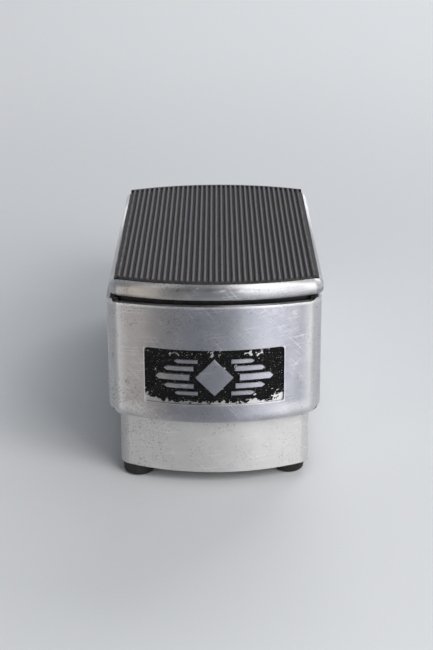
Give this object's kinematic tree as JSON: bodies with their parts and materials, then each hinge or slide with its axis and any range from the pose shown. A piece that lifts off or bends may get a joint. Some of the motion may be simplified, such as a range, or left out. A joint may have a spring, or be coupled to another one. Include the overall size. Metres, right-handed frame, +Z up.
{
  "type": "volume pedal",
  "caption": "Cast metal foot pedal with a ribbed rocking treadle that turns a potentiometer through a gear sector and pinion, with jacks in the plinth sides.",
  "frame": {"origin": "on the floor under the middle of the pedal, at the height of the feet's undersides", "axes": "+X to the player's right, +Y from the toe end to the heel end, +Z up"},
  "size_m": [0.106, 0.2352, 0.1085],
  "materials": {
    "cast_aluminium": "buffed sand casting, satin with fine scratches, pits and dull oxide",
    "polished_aluminium": "buffed bright casting, worn smooth along the rim",
    "black_enamel": "gloss black enamel, chipped at its edges",
    "mat_rubber": "ribbed black rubber, dusty and slightly polished on the crests",
    "foot_rubber": "plain black rubber, semi matt",
    "blackened_steel": "black stoved paint on sheet steel",
    "zinc_steel": "dull zinc plate",
    "ground_steel": "ground rod",
    "bearing_bronze": "oiled bronze",
    "gear_brass": "machined brass, slightly tarnished",
    "nickel_plate": "nickel plate",
    "phenolic_board": "brown phenolic sheet",
    "felt": "pressed black felt",
    "wire_red": "red insulation",
    "wire_white": "yellowed white insulation",
    "wire_black": "black insulation"
  },
  "bodies": {
    "housing": {"housing_casting": "cast_aluminium", "badge_enamel": "black_enamel", "base_plate": "zinc_steel", "base_plate_screws": "zinc_steel", "foot_front_left": "foot_rubber", "foot_front_right": "foot_rubber", "foot_rear_left": "foot_rubber", "foot_rear_right": "foot_rubber", "foot_screws": "zinc_steel", "foot_nuts": "zinc_steel", "pivot_axle": "ground_steel", "axle_end_screws": "nickel_plate", "axle_cup_washers": "nickel_plate", "thrust_washer": "bearing_bronze", "axle_spacer": "zinc_steel", "spring_washer": "zinc_steel", "pot_bracket": "zinc_steel", "pot_bracket_screws": "zinc_steel", "pot_can": "nickel_plate", "pot_wafer": "phenolic_board", "pot_bushing": "nickel_plate", "pot_lugs": "nickel_plate", "pot_lock_washer": "zinc_steel", "pot_nut": "nickel_plate", "input_wire": "wire_red", "output_wire": "wire_white", "ground_wire": "wire_black", "toe_felt_left": "felt", "toe_felt_right": "felt", "heel_felt_left": "felt", "heel_felt_right": "felt", "input_jack_bushing": "nickel_plate", "input_jack_frame": "zinc_steel", "input_jack_insulators": "phenolic_board", "input_jack_tip_spring": "bearing_bronze", "input_jack_washer": "nickel_plate", "input_jack_nut": "nickel_plate", "output_jack_bushing": "nickel_plate", "output_jack_frame": "zinc_steel", "output_jack_insulators": "phenolic_board", "output_jack_tip_spring": "bearing_bronze", "output_jack_washer": "nickel_plate", "output_jack_nut": "nickel_plate"},
    "treadle": {"treadle_casting": "polished_aluminium", "tread_mat": "mat_rubber", "dust_skirt": "blackened_steel", "dust_skirt_screws": "zinc_steel", "axle_bush_left": "bearing_bronze", "axle_bush_right": "bearing_bronze", "gear_sector": "gear_brass", "gear_sector_screws": "zinc_steel"},
    "pot_shaft": {"pot_shaft": "ground_steel", "pot_wiper": "bearing_bronze", "pinion": "gear_brass", "pinion_set_screw": "ground_steel"}
  },
  "joints": [
    {"name": "treadle_tilt", "type": "hinge", "parent": "housing", "child": "treadle", "pos_m": [0, 0.06037, 0.0552], "axis": [1, 0, 0], "range_deg": [-12, 0]},
    {"name": "pot_turn", "type": "hinge", "parent": "housing", "child": "pot_shaft", "pos_m": [0, -0.08068, 0.0552], "axis": [1, 0, 0], "range_deg": [0, 270]}
  ],
  "couplings": [
    {"joint": "pot_turn", "follows": "treadle_tilt", "ratio": -22.5}
  ]
}
